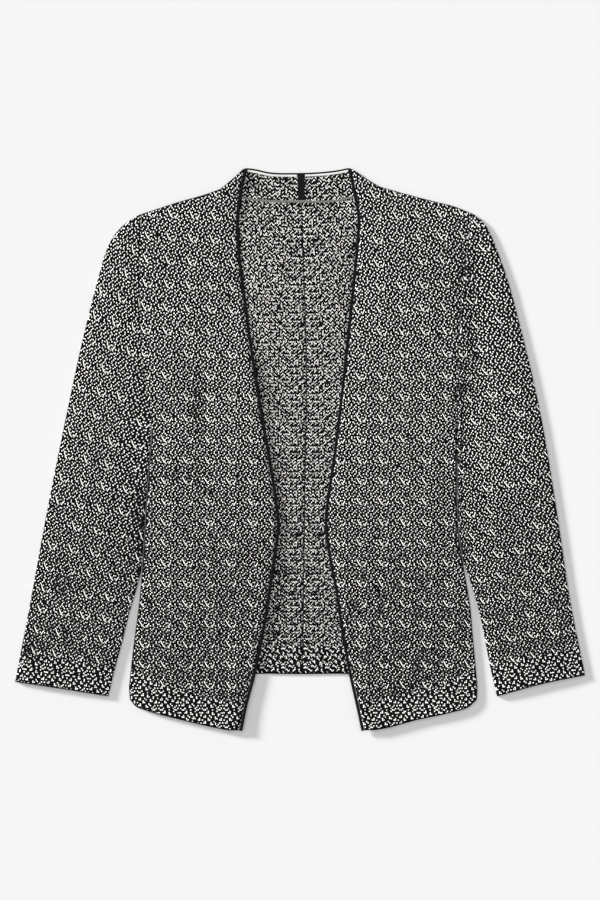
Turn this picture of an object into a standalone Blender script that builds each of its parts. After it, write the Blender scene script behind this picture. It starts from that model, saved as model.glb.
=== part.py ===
"""A knit jacket with an open front and a low standing collar, laid flat on its back, front side up.

X runs to the wearer's left, Y from the hem to the collar and Z up from the surface that the jacket lies
on. The origin is under the middle of the outline. "Left" and "right" are the wearer's.

The back lies flat on the surface and the fronts lie on it. Each sleeve is a tube pressed flat. A cloth
piece starts as its middle layer: a patch of points between four edge lines in plan, raised by a height
that depends on how far a point is from the nearest fold. A Solidify modifier gives it its wall.
"""
import math

import bmesh
import bpy
import numpy as np

# ---- Sizes, in millimetres ---------------------------------------------------------------------------
MM = 0.001
TOP = 360.23             # the collar's highest point, ahead of the middle of the outline
WALL = 1.8               # thickness of the knit, which is a double-faced jacquard
SEAM_GAP = 0.3           # clearance between two pieces that are sewn to each other
SIDE_GAP = 0.8           # clearance between the body's side and the sleeve that lies along it
FOLD_RADIUS = 1.2        # of the middle layer, where the cloth folds over at a side or a shoulder
LOFT = 2.2               # how much higher the upper layer lies in the middle of a panel than at a fold
LOFT_REACH = 45.0        # distance from a fold or an edge at which the full loft is reached
CORNER_EASE = 14.0       # length over which a seam line bends to meet a fold at its corner
CORNER_STAND = 0.4       # how far an edge stands back further from its neighbour where it meets a fold
UNDERARM_ROW = 2.5       # distance above the underarm at which a body panel's side has come out of its fold

BAND_WIDTH = 4.4         # knitted band along each front edge
BAND_THICKNESS = 2.4
BAND_SHORT = 1.0         # distance from the collar's corner at which it ends
BAND_END_DROP = 0.7      # how much the band sinks where it ends at the collar's fold
COLLAR_LIFT = 1.0        # how much higher the front edge lies beside the neck than at the waist
COLLAR_LIFT_FULL = 60.0  # the lift is whole down to here, and gone at the next value
COLLAR_LIFT_NONE = 150.0

COLLAR_BAND_WIDTH = 2.0  # the band's narrow edge along the top of the collar at the back
COLLAR_BAND_THICKNESS = 1.6
STRIPE_WIDTH = 2.6       # off-white edge just under it
TAPE_THICKNESS = 0.6     # of the stripe and both tapes
NECK_TAPE_WIDTH = 3.0
NECK_TAPE_START = 0.16   # share of the neck seam, from the side of the neck, that the tape leaves free
CENTRE_TAPE_WIDTH = 9.0

# ---- Outline -----------------------------------------------------------------------------------------
# "Down" is measured from the collar's highest point towards the hem, "out" from the centre line towards
# a side. The jacket lies a little unevenly, so each side has its own columns.

# Middle of the front band, from the hem to the collar's corner.   down   right    left
FRONT_EDGE = [(719.6, 75.5, 80.2),
              (696.3, 71.2, 75.3),
              (645.1, 58.0, 63.8),
              (593.9, 47.5, 54.5),
              (542.7, 39.0, 46.9),
              (489.0, 31.4, 36.9),
              (461.0, 27.8, 33.4),
              (448.0, 28.0, 33.3),
              (427.5, 30.5, 35.3),
              (376.3, 38.5, 43.0),
              (273.9, 55.8, 55.3),
              (171.5, 70.5, 66.3),
              (94.7, 79.2, 73.6),
              (69.1, 80.0, 75.3),
              (30.7, 75.6, 69.4),
              (2.4, 69.2, 63.4)]

# Side seam, from the hem to where the sleeve starts to lie along it.
SIDE_FREE = [(681.0, 217.7, 226.2),
             (668.0, 219.3, 227.2),
             (650.0, 217.7, 225.9),
             (604.0, 212.6, 221.7),
             (562.0, 206.8, 218.0),
             (508.0, 201.8, 209.0)]

# Side seam and under fold of the sleeve together, from there to the underarm.
SIDE_BESIDE_SLEEVE = [(508.0, 201.8, 209.0),
                      (470.0, 199.0, 203.2),
                      (428.8, 196.6, 201.0),
                      (386.6, 193.4, 200.8),
                      (341.8, 189.6, 201.4)]

# Armhole, from the underarm to the shoulder point.
ARMHOLE = [(341.8, 189.6, 201.4),
           (320.0, 190.6, 199.4),
           (297.0, 194.6, 199.8),
           (246.0, 201.6, 202.8),
           (195.0, 204.3, 205.0),
           (143.0, 204.8, 208.6),
           (105.0, 204.6, 214.0),
           (59.2, 203.0, 221.5)]

# Under fold of the sleeve, from where it leaves the side to the cuff.
SLEEVE_INNER_FREE = [(508.0, 201.8, 209.0),
                     (516.0, 203.0, 212.6),
                     (540.0, 209.0, 220.6),
                     (566.0, 217.0, 228.0),
                     (596.5, 224.4, 234.6),
                     (640.0, 236.2, 243.0),
                     (676.0, 245.0, 251.5)]

# The lines below lie askew, so each side has its own "down" too.  right down, out   left down, out
# Upper fold of the sleeve, from the shoulder point to the cuff.
SLEEVE_OUTER = [(59.2, 203.0, 59.2, 221.5),
                (65.0, 215.0, 65.0, 229.8),
                (75.0, 228.2, 75.0, 238.6),
                (89.0, 239.8, 89.0, 245.6),
                (108.0, 248.8, 108.0, 253.0),
                (136.0, 256.8, 136.0, 263.2),
                (197.1, 272.8, 197.1, 280.2),
                (320.0, 299.8, 320.0, 308.6),
                (442.9, 324.4, 442.9, 329.0),
                (565.8, 347.0, 565.8, 347.8),
                (657.4, 364.5, 648.8, 364.5)]

# Shoulder line, from the shoulder point to the side of the neck.
SHOULDER = [(59.2, 203.0, 59.2, 221.5),
            (52.0, 181.0, 49.2, 196.0),
            (43.3, 154.0, 43.0, 171.0),
            (34.6, 123.0, 33.0, 133.0),
            (27.4, 102.5, 24.3, 102.3)]

# Fold of the collar, from the side of the neck up to the collar's corner.
COLLAR_FOLD = [(27.4, 102.5, 24.3, 102.3),
               (19.2, 92.3, 15.5, 86.8),
               (10.2, 82.0, 7.0, 74.5),
               (1.0, 72.4, 0.5, 65.9)]

# Cuff, from the upper fold to the under fold.
CUFF = [(657.4, 364.5, 648.8, 364.5),
        (666.2, 304.8, 660.6, 307.1),
        (676.0, 245.0, 676.0, 251.5)]

# Hem of a front, from the band to the side seam.
FRONT_HEM = [(721.7, 78.6, 720.9, 82.9),
             (713.4, 120.4, 716.2, 111.0),
             (704.6, 157.1, 706.2, 148.2),
             (694.8, 193.8, 697.2, 190.0),
             (688.0, 211.4, 688.6, 217.0),
             (681.0, 217.7, 681.0, 226.2)]

# Hem of a back half, from the centre back, which lies a little off the centre line, to the side seam.
BACK_HEM = [(647.7, -3.0, 647.7, 3.0),
            (647.7, 62.0, 647.7, 66.0),
            (652.5, 116.0, 652.5, 122.0),
            (665.0, 172.0, 665.0, 178.0),
            (681.0, 217.7, 681.0, 226.2)]

# Seam between the back and the collar, from the side of the neck to the centre back.
NECK_SEAM = [(27.4, 102.5, 24.3, 102.3),
             (38.3, 72.4, 37.0, 68.5),
             (42.0, 46.2, 42.6, 42.0),
             (43.3, -2.0, 43.3, 2.0)]

# Top of the collar at the back, from its corner to the centre back.
COLLAR_TOP = [(0.3, 66.6, 0.3, 60.4),
              (1.9, 55.8, 2.2, 52.0),
              (4.9, 43.0, 4.6, 35.0),
              (6.7, -1.0, 6.7, 1.0)]

# Centre-back seam, from the collar's top to the neck seam, and from the hem to the neck seam.
CENTRE_BACK_COLLAR = [(6.7, -1.0, 6.7, 1.0),
                      (43.3, -2.0, 43.3, 2.0)]
CENTRE_BACK = [(647.7, -3.0, 647.7, 3.0),
               (420.0, -6.0, 420.0, 6.0),
               (250.0, -8.0, 250.0, 8.0),
               (140.0, -5.0, 140.0, 5.0),
               (43.3, -2.0, 43.3, 2.0)]

BODY_MIDDLE = (120.0, 380.0)     # out and down, to tell which way a line moves inwards
SLEEVE_MIDDLE = (270.0, 400.0)
COLLAR_MIDDLE = (40.0, 22.0)
SHOULDER_INWARD = (-0.45, 0.89)  # unit directions into the cloth, halfway between the folds that meet there
NECK_INWARD = (-0.4, 0.92)

# ---- How finely each piece is divided ----------------------------------------------------------------
# Pieces that meet at a seam are divided alike along it, so that their straight facets lie side by side.
SIDE_ROWS = 18           # along a side seam, from the hem to the underarm
ARMHOLE_ROWS = 10        # along an armhole, and across one layer of a sleeve
PANEL_ROWS = SIDE_ROWS + ARMHOLE_ROWS
PANEL_COLUMNS = 10       # from the front edge or the centre back to the side
COLLAR_COLUMNS = 3       # those of a front that reach the collar, not the shoulder
NECK_COLUMNS = 5         # those of a back half that reach the neck seam, and the collar's rows along it
SLEEVE_RINGS = 20        # from the armhole to the cuff
FOLD_STEPS = 3           # facets in a quarter turn of a fold

SIDES = {"right": -1, "left": 1}

# ---- Heights above the surface -----------------------------------------------------------------------
LOWER = WALL / 2                                   # middle of the lower layer
SEAM_HEIGHT = LOWER + FOLD_RADIUS                  # of the seam or fold between the two layers
UPPER = SEAM_HEIGHT + FOLD_RADIUS                  # middle of the upper layer, beside a fold
FOLD_SEAM = SEAM_GAP / 2 + LOWER * math.sin(math.pi / 4 / FOLD_STEPS)  # from there to a layer's edge
TAPE_HEIGHT = WALL + SEAM_GAP + TAPE_THICKNESS / 2

# Half widths and half thicknesses round the section of a knitted band, and of a flat tape.
BAND_SECTION = [(-1, 0), (-0.8, 0.75), (-0.4, 1), (0.4, 1), (0.8, 0.75),
                (1, 0), (0.8, -0.75), (0.4, -1), (-0.4, -1), (-0.8, -0.75)]
TAPE_SECTION = [(-1, -1), (-1, 1), (1, 1), (1, -1)]

# ---- Materials: name, base colour, roughness ---------------------------------------------------------
KNIT = ("knit", (0.12, 0.118, 0.12), 0.9)
BLACK_BAND = ("black_band", (0.012, 0.011, 0.013), 0.8)
WHITE_EDGE = ("white_edge", (0.75, 0.74, 0.71), 0.85)
GREY_TAPE = ("grey_tape", (0.35, 0.35, 0.35), 0.85)


# ---- Lines in plan -----------------------------------------------------------------------------------
def smoothstep(x):
    """0 below 0, 1 above 1, and a smooth rise between."""
    x = np.clip(x, 0.0, 1.0)
    return x * x * (3 - 2 * x)


class Line:
    """A line in plan: close-set (out, down) points, and at each of them the share of the way along."""

    def __init__(self, points, share=None):
        self.points = np.asarray(points, float)
        self.along = np.concatenate([[0.0], np.cumsum(np.linalg.norm(np.diff(self.points, axis=0), axis=1))])
        self.share = self.along / self.along[-1] if share is None else share

    def at(self, share):
        """Points at the given shares of the way, in an array of any shape."""
        return np.stack([np.interp(share, self.share, self.points[:, axis]) for axis in (0, 1)], axis=-1)

    def turned(self):
        """The same line run the other way."""
        return Line(self.points[::-1], 1 - self.share[::-1])

    def moved(self, distance, towards):
        """The line moved sideways, to the side on which the given point lies."""
        direction = np.gradient(self.points, axis=0)
        direction /= np.linalg.norm(direction, axis=1, keepdims=True)
        normal = np.column_stack([-direction[:, 1], direction[:, 0]])
        middle = len(normal) // 2
        sign = np.sign(np.dot(normal[middle], np.asarray(towards) - self.points[middle]))
        return Line(self.points + sign * distance * normal, self.share)

    def pinned(self, start=None, end=None):
        """The line bent, over a short length at its ends, to start and end at given points."""
        points = self.points.copy()
        if start is not None:
            points += (1 - smoothstep(self.along / CORNER_EASE))[:, None] * (start - self.points[0])
        if end is not None:
            left = (self.along[-1] - self.along) / CORNER_EASE
            points += (1 - smoothstep(left))[:, None] * (end - self.points[-1])
        return Line(points, self.share)


def line(table, side, samples=240):
    """The smooth line through a table's points: cubic pieces that take their slope from the neighbours."""
    rows = np.asarray(table, float)
    if rows.shape[1] == 3:
        down, out = 0, (1 if side == "right" else 2)
    else:
        down, out = (0, 1) if side == "right" else (2, 3)
    chords = Line(rows[:, [out, down]])
    points, chord = chords.points, chords.along
    slope = np.gradient(points, chord, axis=0)
    along = np.linspace(0.0, chord[-1], samples)
    piece = np.clip(np.searchsorted(chord, along, side="right") - 1, 0, len(points) - 2)
    span = (chord[piece + 1] - chord[piece])[:, None]
    t = (along - chord[piece])[:, None] / span
    leave, arrive = slope[piece] * span, slope[piece + 1] * span
    return Line(points[piece] * (2 * t**3 - 3 * t**2 + 1) + leave * (t**3 - 2 * t**2 + t)
                + points[piece + 1] * (3 * t**2 - 2 * t**3) + arrive * (t**3 - t**2))


def join(first, second, meeting=None):
    """One line made of two that meet end to end, at a given share of the way."""
    points = np.concatenate([first.points, second.points[1:]])
    if meeting is None:
        return Line(points)
    return Line(points, np.concatenate([first.share * meeting, meeting + second.share[1:] * (1 - meeting)]))


def patch(start, end, first, last, u, v):
    """Points between four lines: the straight blends across u and along v, less that of the corners.

    start and end run along u, at v = 0 and 1; first and last run along v, at u = 0 and 1. u and v are
    grids of shares, with a row for each step along v.
    """
    across_start, across_end = start.at(u), end.at(u)
    along_first, along_last = first.at(v), last.at(v)
    u, v = u[..., None], v[..., None]
    corners = ((1 - u) * (1 - v) * start.points[0] + u * (1 - v) * start.points[-1]
               + (1 - u) * v * end.points[0] + u * v * end.points[-1])
    return (1 - v) * across_start + v * across_end + (1 - u) * along_first + u * along_last - corners


def shares(count, size, fold_at_start=False, fold_at_end=False):
    """Even shares, with the steps of a fold's quarter turn at either end: a row for each of the sizes."""
    size = np.reshape(size, (-1, 1))
    step = np.arange(FOLD_STEPS + 1) / FOLD_STEPS
    fold = FOLD_RADIUS * (1 - np.cos(math.pi / 2 * step)) / size
    even = np.arange(1, count) / count + 0 * size
    start = fold if fold_at_start else 0 * size
    end = 1 - fold[:, ::-1] if fold_at_end else 1 + 0 * size
    return np.concatenate([start, even, end], axis=1)


def panel_rows(height, armhole):
    """Shares up a body panel of a given height and armhole length, with rows at the underarm and the top fold."""
    rows = shares(PANEL_ROWS, height, fold_at_end=True)[0]
    underarm = (SIDE_ROWS + UNDERARM_ROW / armhole * ARMHOLE_ROWS) / PANEL_ROWS
    return np.sort(np.append(rows, underarm))


def grid_shares(first, last, v, count, **folds):
    """The grids of shares across and along a patch, whose rows run from one line to another."""
    size = np.linalg.norm(first.at(v) - last.at(v), axis=1)
    u = shares(count, size, **folds)
    return u, np.broadcast_to(v[:, None], u.shape)


def distance_to(plan, lines):
    """Distance in plan from each point to the nearest of some lines."""
    flat = plan.reshape(-1, 2)
    nearest = np.full(len(flat), np.inf)
    for edge in lines:
        step = np.diff(edge.points, axis=0)
        offset = flat[:, None, :] - edge.points[None, :-1]
        t = np.clip((offset * step).sum(-1) / (step**2).sum(-1), 0, 1)
        gap = np.linalg.norm(offset - t[..., None] * step, axis=-1).min(axis=1)
        nearest = np.minimum(nearest, gap)
    return nearest.reshape(plan.shape[:-1])


# ---- One side of the jacket --------------------------------------------------------------------------
class Outline:
    """The edge lines of one side's pieces. Folds are given at the middle of the cloth's thickness."""

    def __init__(self, side):
        half_wall, half_gap = WALL / 2, SEAM_GAP / 2
        armhole, beside = line(ARMHOLE, side), line(SIDE_BESIDE_SLEEVE, side)
        side_line = join(line(SIDE_FREE, side), beside)
        inner = join(beside.turned(), line(SLEEVE_INNER_FREE, side))
        collar_fold, shoulder = line(COLLAR_FOLD, side), line(SHOULDER, side)
        outer = line(SLEEVE_OUTER, side)

        # Corners where the lines of several pieces meet.
        shoulder_point = outer.points[0] + half_wall * np.array(SHOULDER_INWARD)
        neck_point = collar_fold.points[0] + half_wall * np.array(NECK_INWARD)
        stand = np.array([CORNER_STAND, 0.0])

        # The front's band and the panel's edge beside it, from the hem to the collar's corner.
        self.band = line(FRONT_EDGE, side)
        panel_edge = self.band.moved(BAND_WIDTH / 2 + SEAM_GAP, BODY_MIDDLE)
        self.panel_edge = panel_edge.pinned(None, panel_edge.points[-1] + stand)

        # Folds: the shoulder and the collar from the shoulder point inwards, the rest from the body outwards.
        self.shoulder = shoulder.moved(half_wall, BODY_MIDDLE).pinned(shoulder_point - stand, neck_point)
        self.collar_fold = collar_fold.moved(half_wall, BODY_MIDDLE)
        self.collar_fold = self.collar_fold.pinned(neck_point, self.panel_edge.points[-1])
        self.side_fold = side_line.moved(half_wall + SIDE_GAP / 2, BODY_MIDDLE)
        self.inner_fold = inner.moved(half_wall + SIDE_GAP / 2, SLEEVE_MIDDLE)
        self.outer_fold = outer.moved(half_wall, SLEEVE_MIDDLE).pinned(shoulder_point + stand)

        # Seams and free edges.
        body_armhole = armhole.moved(half_gap, BODY_MIDDLE)
        body_armhole = body_armhole.pinned(self.side_fold.points[-1], self.shoulder.points[0])
        self.body_side = join(self.side_fold, body_armhole, SIDE_ROWS / PANEL_ROWS)
        self.panel_rows = panel_rows(self.panel_edge.along[-1], body_armhole.along[-1])
        self.sleeve_armhole = armhole.moved(half_gap, SLEEVE_MIDDLE).pinned(
            self.inner_fold.points[0], self.outer_fold.points[0]).turned()
        self.cuff = line(CUFF, side).pinned(self.outer_fold.points[-1], self.inner_fold.points[-1])
        self.front_hem = line(FRONT_HEM, side).pinned(self.panel_edge.points[0], self.side_fold.points[0])
        self.back_hem = line(BACK_HEM, side).pinned(None, self.side_fold.points[0])
        self.centre_back = line(CENTRE_BACK, side).moved(half_gap, BODY_MIDDLE)
        self.centre_collar = line(CENTRE_BACK_COLLAR, side)
        self.collar_top = line(COLLAR_TOP, side)
        self.neck_seam = line(NECK_SEAM, side)

        # What the upper layer rises from. The body and the sleeve share it, so that they meet level.
        self.rests = [collar_fold, shoulder, outer, side_line, inner, self.panel_edge]

    def upper(self, plan, folds, seam=0.0):
        """Height of the upper layer over points in plan.

        It comes down round the given folds to the seam's height, or to a given distance above it, and from
        there rises in a sine to its loft. Beside the neck the front edge lies higher.
        """
        reach = distance_to(plan, self.rests) / LOFT_REACH
        loft = LOFT * np.sin(math.pi / 2 * np.clip(reach, 0, 1))
        from_edge = distance_to(plan, [self.panel_edge]) / LOFT_REACH
        lift = collar_lift(plan[..., 1]) * (1 - smoothstep(from_edge))
        return SEAM_HEIGHT + seam + (FOLD_RADIUS - seam + loft + lift) * turn(distance_to(plan, folds))


def lower(plan, folds, seam=0.0):
    """Height of the lower layer, which is flat but for its folds, where it comes up to the seam."""
    return SEAM_HEIGHT - seam - (FOLD_RADIUS - seam) * turn(distance_to(plan, folds))


def turn(distance):
    """Height of a fold's quarter turn at a distance from its edge, as a share of its radius."""
    return np.sqrt(1 - (1 - np.clip(distance / FOLD_RADIUS, 0, 1))**2)


def collar_lift(down):
    """How much higher the front edge lies at a distance down from the collar."""
    return COLLAR_LIFT * smoothstep((COLLAR_LIFT_NONE - down) / (COLLAR_LIFT_NONE - COLLAR_LIFT_FULL))


def raised(plan, height):
    """Points in plan with their heights."""
    return np.concatenate([plan, np.broadcast_to(height, plan.shape[:-1])[..., None]], axis=-1)


# ---- Making objects ----------------------------------------------------------------------------------
def material(name, colour, roughness):
    """The material of that name, made once."""
    made = bpy.data.materials.get(name)
    if made is None:
        made = bpy.data.materials.new(name)
        made.use_nodes = True
        shader = made.node_tree.nodes["Principled BSDF"]
        shader.inputs["Base Color"].default_value = (*colour, 1.0)
        shader.inputs["Roughness"].default_value = roughness
        shader.inputs["Metallic"].default_value = 0.0
    return made


def grid_faces(rows, columns, first=0, closed=False):
    """Quads between the neighbours of a grid whose points are numbered row by row."""
    corner = first + np.arange(rows * columns).reshape(rows, columns)
    if closed:
        corner = np.concatenate([corner, corner[:, :1]], axis=1)
    quads = [corner[:-1, :-1], corner[:-1, 1:], corner[1:, 1:], corner[1:, :-1]]
    return np.stack(quads, axis=-1).reshape(-1, 4).tolist()


def add_object(name, side, points, faces, finish):
    """An object from (out, down, height) points in millimetres, doubled points merged, shaded smooth."""
    out, down, height = points.T
    world = np.column_stack([SIDES[side] * out, TOP - down, height]) * MM
    mesh = bpy.data.meshes.new(name)
    mesh.from_pydata(world.tolist(), [], faces)
    body = bmesh.new()
    body.from_mesh(mesh)
    bmesh.ops.remove_doubles(body, verts=body.verts, dist=0.01 * MM)
    bmesh.ops.recalc_face_normals(body, faces=body.faces)
    body.to_mesh(mesh)
    body.free()
    mesh.shade_smooth()
    mesh.materials.append(material(*finish))
    made = bpy.data.objects.new(name, mesh)
    bpy.context.scene.collection.objects.link(made)
    return made


def add_cloth(name, side, grids, closed=False):
    """A cloth piece: the grids of its middle layer, joined where they share points, and given their wall."""
    faces, first = [], 0
    for grid in grids:
        rows, columns = grid.shape[:2]
        faces += grid_faces(rows, columns, first, closed)
        first += rows * columns
    points = np.concatenate([grid.reshape(-1, 3) for grid in grids])
    wall = add_object(name, side, points, faces, KNIT).modifiers.new("wall", "SOLIDIFY")
    wall.thickness = WALL * MM
    wall.offset = 0.0


def add_strip(name, side, centre, section, width, thickness, finish):
    """A band or tape along a line: its section carried along it, with both ends closed."""
    section = np.array(section, float)
    direction = np.gradient(centre[:, :2], axis=0)
    direction /= np.linalg.norm(direction, axis=1, keepdims=True)
    across = np.column_stack([-direction[:, 1], direction[:, 0], 0 * direction[:, 0]])
    up = np.array([0.0, 0.0, 1.0])
    points = (centre[:, None] + across[:, None] * section[None, :, :1] * width / 2
              + up * section[None, :, 1:] * thickness / 2)
    rows, columns = points.shape[:2]
    faces = grid_faces(rows, columns, closed=True)
    faces += [list(range(columns)), list(range((rows - 1) * columns, rows * columns))]
    add_object(name, side, points.reshape(-1, 3), faces, finish)


# ---- The pieces --------------------------------------------------------------------------------------
def add_front(side, outline):
    """A front, and the half of the collar that is cut in one with it and goes round to the centre back."""
    top = join(outline.collar_fold.turned(), outline.shoulder.turned(), COLLAR_COLUMNS / PANEL_COLUMNS)
    v = outline.panel_rows
    u, v = grid_shares(outline.panel_edge, outline.body_side, v, PANEL_COLUMNS, fold_at_end=True)
    plan = patch(outline.front_hem, top, outline.panel_edge, outline.body_side, u, v)
    seam = np.full(plan.shape[:-1], FOLD_SEAM)
    seam[:, :COLLAR_COLUMNS] = 0.0
    folds = [outline.collar_fold, outline.shoulder, outline.side_fold]
    front = raised(plan, outline.upper(plan, folds, seam))

    # The collar's half starts from the front's own points along the fold.
    fold = outline.collar_fold.turned()
    half_gap = np.array([SEAM_GAP / 2, 0.0])
    edge = outline.collar_top.moved(COLLAR_BAND_WIDTH + SEAM_GAP, COLLAR_MIDDLE)
    edge = Line(np.concatenate([fold.points[:1], edge.points])).pinned(None, edge.points[-1] + half_gap)
    neck = outline.neck_seam.moved(SEAM_GAP / 2, COLLAR_MIDDLE)
    neck = neck.pinned(fold.points[-1], neck.points[-1] + half_gap)
    centre = Line([edge.points[-1], neck.points[-1]])
    v = shares(NECK_COLUMNS, neck.along[-1], fold_at_start=True)[0]
    u, v = np.meshgrid(np.linspace(0, 1, COLLAR_COLUMNS + 1), v)
    plan = patch(fold, centre, edge, neck, u, v)
    height = lower(plan, [outline.collar_fold])
    height[0] = front[-1, :COLLAR_COLUMNS + 1, 2]
    add_cloth("front_" + side, side, [front, raised(plan, height)])


def add_back(side, outline):
    """A back half, from the centre-back seam to the side seam and the armhole."""
    half_gap = np.array([SEAM_GAP / 2, 0.0])
    corner = outline.shoulder.points[-1] + [SEAM_GAP, 2 * SEAM_GAP]
    neck = outline.neck_seam.moved(SEAM_GAP / 2, BODY_MIDDLE)
    neck = neck.pinned(corner, neck.points[-1] + half_gap).turned()
    top = join(neck, outline.shoulder.pinned(None, corner).turned(), NECK_COLUMNS / PANEL_COLUMNS)
    centre = outline.centre_back.pinned(None, neck.points[0])
    hem = outline.back_hem.pinned(centre.points[0])
    v = outline.panel_rows
    u, v = grid_shares(centre, outline.body_side, v, PANEL_COLUMNS, fold_at_end=True)
    plan = patch(hem, top, centre, outline.body_side, u, v)
    height = lower(plan, [outline.shoulder, outline.side_fold], FOLD_SEAM)
    add_cloth("back_" + side, side, [raised(plan, height)])


def add_sleeve(side, outline):
    """A sleeve: rings that run across its upper layer and back across its lower one, joined at both folds."""
    folds = [outline.outer_fold, outline.inner_fold]
    v = np.linspace(0, 1, SLEEVE_RINGS + 1)
    u, v = grid_shares(*folds, v, ARMHOLE_ROWS, fold_at_start=True, fold_at_end=True)
    plan = patch(outline.sleeve_armhole, outline.cuff, *folds, u, v)
    upper_layer = raised(plan, outline.upper(plan, folds))
    lower_layer = raised(plan, lower(plan, folds))[:, -2:0:-1]
    add_cloth("sleeve_" + side, side, [np.concatenate([upper_layer, lower_layer], axis=1)], closed=True)


def add_front_band(side, outline):
    """The knitted band along a front edge, from the hem up to the collar's corner."""
    rows = outline.panel_rows
    end = 1 - BAND_SHORT / outline.band.along[-1]
    route = outline.band.at(np.append(rows[rows < 1 - 1 / PANEL_ROWS / 2], end))
    down = route[:, 1]
    height = UPPER + collar_lift(down) - BAND_END_DROP * (1 - smoothstep(down / CORNER_EASE))
    add_strip("binding_" + side, side, raised(route, height), BAND_SECTION, BAND_WIDTH, BAND_THICKNESS,
              BLACK_BAND)


def both_sides(right, left):
    """One line from the right side to the left, in the left side's terms, halfway at the centre back."""
    return join(Line(right.points * [-1, 1], right.share), left.turned(), 0.5)


def add_collar_edge(right, left):
    """The band's narrow edge along the top of the collar, and the off-white edge under it."""
    edges = [outline.collar_top.moved(COLLAR_BAND_WIDTH / 2, COLLAR_MIDDLE) for outline in (right, left)]
    route = both_sides(*edges).at(np.linspace(0, 1, 2 * NECK_COLUMNS + 1))
    add_strip("collar_binding", "left", raised(route, COLLAR_BAND_THICKNESS / 2), BAND_SECTION,
              COLLAR_BAND_WIDTH, COLLAR_BAND_THICKNESS, BLACK_BAND)
    for side, outline in (("right", right), ("left", left)):
        top = outline.collar_top.moved(COLLAR_BAND_WIDTH + STRIPE_WIDTH / 2, COLLAR_MIDDLE)
        end = 1 - (CENTRE_TAPE_WIDTH / 2 + 2 * SEAM_GAP) / top.along[-1]
        route = top.at(np.linspace(0, end, NECK_COLUMNS + 1))
        add_strip("collar_stripe_" + side, side, raised(route, TAPE_HEIGHT), TAPE_SECTION, STRIPE_WIDTH,
                  TAPE_THICKNESS, WHITE_EDGE)


def add_tapes(right, left):
    """The grey tape over the neck seam and the black one over the collar's centre-back seam."""
    start = NECK_TAPE_START / 2
    route = both_sides(right.neck_seam, left.neck_seam)
    route = route.at(np.linspace(start, 1 - start, 4 * NECK_COLUMNS + 1))
    add_strip("neck_tape", "left", raised(route, TAPE_HEIGHT), TAPE_SECTION, NECK_TAPE_WIDTH, TAPE_THICKNESS,
              GREY_TAPE)
    centre = left.centre_collar
    end = 1 - (NECK_TAPE_WIDTH / 2 + 2 * SEAM_GAP) / centre.along[-1]
    route = centre.at(np.linspace(0, end, NECK_COLUMNS))
    add_strip("collar_tape", "left", raised(route, TAPE_HEIGHT), TAPE_SECTION, CENTRE_TAPE_WIDTH,
              TAPE_THICKNESS, BLACK_BAND)


for old in list(bpy.data.objects):
    bpy.data.objects.remove(old, do_unlink=True)

outlines = {side: Outline(side) for side in SIDES}
for side, outline in outlines.items():
    add_back(side, outline)
    add_front(side, outline)
    add_sleeve(side, outline)
    add_front_band(side, outline)
add_collar_edge(outlines["right"], outlines["left"])
add_tapes(outlines["right"], outlines["left"])
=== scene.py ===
import math

import bpy
import numpy as np
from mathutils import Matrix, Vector


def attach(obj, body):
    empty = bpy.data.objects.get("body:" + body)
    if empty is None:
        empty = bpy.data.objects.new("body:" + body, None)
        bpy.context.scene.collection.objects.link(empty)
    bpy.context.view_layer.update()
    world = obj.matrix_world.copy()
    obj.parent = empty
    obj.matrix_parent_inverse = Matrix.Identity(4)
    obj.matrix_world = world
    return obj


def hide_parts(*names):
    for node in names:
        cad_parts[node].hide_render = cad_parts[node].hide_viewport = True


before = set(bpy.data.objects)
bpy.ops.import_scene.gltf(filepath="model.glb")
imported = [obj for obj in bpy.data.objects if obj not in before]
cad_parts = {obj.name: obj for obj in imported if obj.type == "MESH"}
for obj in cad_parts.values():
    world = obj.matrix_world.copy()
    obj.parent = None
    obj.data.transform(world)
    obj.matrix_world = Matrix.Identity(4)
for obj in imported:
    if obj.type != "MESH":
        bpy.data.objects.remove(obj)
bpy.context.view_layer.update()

# A knit jacket with an open front and a low standing collar, laid flat on its back, front side up.
# Lengths are millimetres. A place in plan is (out, down): out from the centre line towards a side, down
# from the collar's highest point towards the hem. "Left" and "right" are the wearer's.


# ---- The table, the light and the camera ------------------
# A plain pale table. A lamp stands low at the upper left, so that the cloth's edges and soft creases throw
# shade to the lower right. A broad soft light hangs overhead, and a pale room lights the rest. The camera
# looks straight down through a long lens.
MM = 0.001
PICTURE_ROWS = 900
ROW_ON_TABLE = 1.28          # what one row of the picture covers
VIEW_MIDDLE = (-0.1, -0.8)   # the point under the camera
LENS, SENSOR = 85.0, 36.0
TABLE_SIZE = 30000.0
TABLE_TOP = -0.2             # just under the cloth
# Each light's power and, in degrees, how high it stands, which way it shines and how broad it looks.
LOW_LAMP = (8.0, 15.0, -28.0, 9.0)
OVERHEAD = (1.98, 84.0, -40.0, 70.0)
ROOM_LIGHT = 0.42

camera = bpy.data.objects.new("camera", bpy.data.cameras.new("camera"))
camera.data.lens = LENS
camera.data.sensor_fit = "VERTICAL"
camera.data.sensor_height = SENSOR
camera_height = PICTURE_ROWS * ROW_ON_TABLE * LENS / SENSOR
camera.location = (VIEW_MIDDLE[0] * MM, VIEW_MIDDLE[1] * MM, camera_height * MM)
bpy.context.scene.collection.objects.link(camera)
bpy.context.scene.camera = camera

for name, (power, *degrees) in {"low_lamp": LOW_LAMP, "overhead": OVERHEAD}.items():
    lamp = bpy.data.objects.new(name, bpy.data.lights.new(name, "SUN"))
    height, heading, breadth = map(math.radians, degrees)
    lamp.data.energy = power
    lamp.data.angle = breadth
    level = math.cos(height)
    travel = Vector((math.cos(heading) * level, math.sin(heading) * level, -math.sin(height)))
    lamp.rotation_euler = travel.to_track_quat("-Z", "Y").to_euler()
    bpy.context.scene.collection.objects.link(lamp)

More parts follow.
